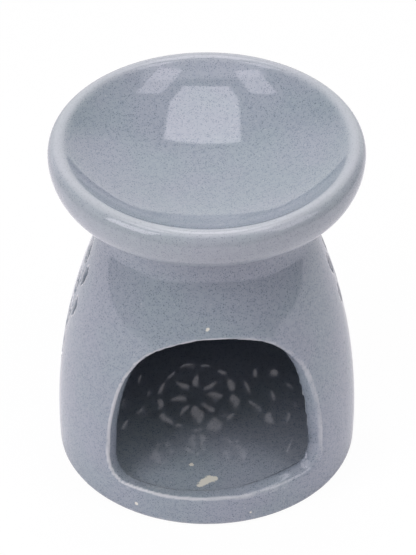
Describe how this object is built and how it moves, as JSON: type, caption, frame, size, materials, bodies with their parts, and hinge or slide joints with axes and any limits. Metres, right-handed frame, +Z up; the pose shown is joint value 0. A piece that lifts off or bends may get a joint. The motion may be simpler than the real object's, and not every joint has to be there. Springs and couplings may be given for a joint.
{
  "type": "essential oil burner",
  "caption": "Ceramic essential oil burner: a shallow lift-off dish on the neck of a bell-shaped body with an arched candle mouth and a pierced back and sides.",
  "frame": {"origin": "centre of the foot, on the surface that the burner stands on", "axes": "+Z up along the burner's axis, the arched candle mouth faces -Y"},
  "size_m": [0.1, 0.1, 0.1187],
  "materials": {
    "speckled_glaze": "glossy blue-grey glaze with fine dark speckles, paler where it thins over edges"
  },
  "bodies": {
    "body": {"burner_body": "speckled_glaze"},
    "dish": {"oil_dish": "speckled_glaze"}
  },
  "joints": [
    {"name": "dish_lift", "type": "slide", "parent": "body", "child": "dish", "axis": [0, 0, 1], "range_m": [0, 0.05]}
  ]
}
